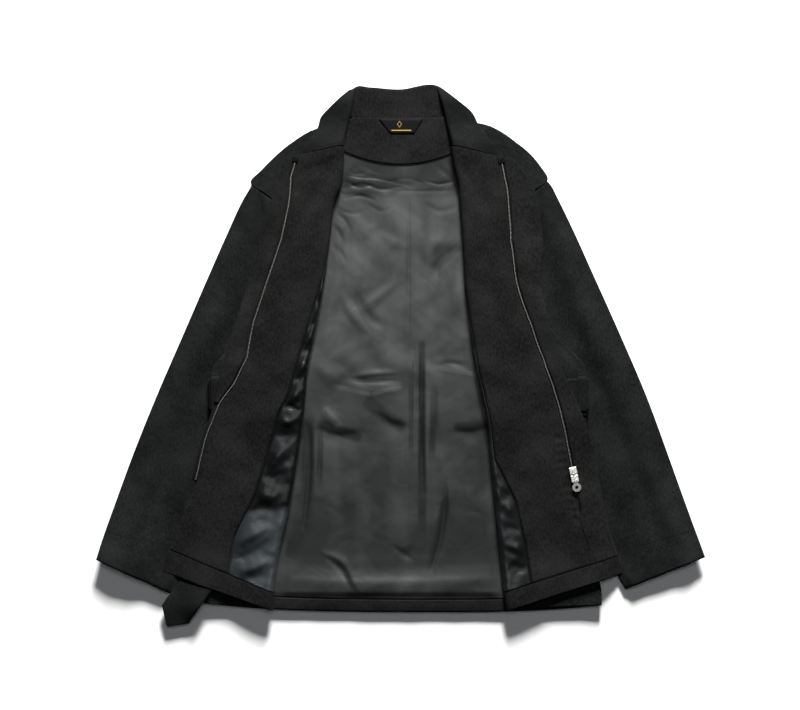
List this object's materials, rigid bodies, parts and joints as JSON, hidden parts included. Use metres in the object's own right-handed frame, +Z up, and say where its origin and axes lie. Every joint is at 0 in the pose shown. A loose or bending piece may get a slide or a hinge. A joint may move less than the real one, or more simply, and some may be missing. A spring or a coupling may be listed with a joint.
{
  "type": "safari jacket laid open on its back",
  "caption": "Belted safari jacket lying open and flat: stand collar, fronts turned back over the sleeves, satin lining, zip with a hinged pull tab, and tie belt.",
  "frame": {"origin": "middle of the jacket's bounding box, on the table it lies on", "axes": "+X to the viewer's right across the sleeves, +Y to the collar, +Z up from the table"},
  "size_m": [0.938, 0.8323, 0.0259],
  "materials": {
    "twill": "near-black cotton twill, matt with a faint sheen",
    "twill_inside": "the same twill where it shows inside, a little browner",
    "satin_lining": "smooth grey-green satin, glossy along its creases",
    "zip_coil": "black tape with a fine chain",
    "nickel": "bright nickel plate",
    "label_weave": "woven label, bare of any name"
  },
  "bodies": {
    "jacket": {"back": "twill", "back_hem": "twill_inside", "back_lining": "satin_lining", "back_neck_facing": "twill_inside", "belt_back": "twill", "belt_end_left": "twill", "belt_end_right": "twill", "belt_loop_left": "twill", "belt_loop_right": "twill", "collar_back": "twill_inside", "collar_end_left": "twill_inside", "collar_end_right": "twill_inside", "fly_strip_left": "twill_inside", "fly_strip_right": "twill_inside", "front_facing_left": "twill_inside", "front_facing_right": "twill_inside", "front_hem_left": "twill_inside", "front_hem_right": "twill_inside", "front_left": "twill", "front_lining_left": "satin_lining", "front_lining_right": "satin_lining", "front_right": "twill", "neck_label": "label_weave", "sleeve_top_left": "twill", "sleeve_top_right": "twill", "sleeve_under_left": "twill", "sleeve_under_right": "twill", "slider_lower": "nickel", "slider_upper": "nickel", "zip_left": "zip_coil", "zip_right": "zip_coil"},
    "pull_tab": {"pull_tab": "nickel"}
  },
  "joints": [
    {"name": "pull_tab_swing", "type": "hinge", "parent": "jacket", "child": "pull_tab", "pos_m": [0.2693, -0.18935, 0.0241], "axis": [-0.9781, -0.2079, 0], "range_deg": [0, 140]}
  ]
}
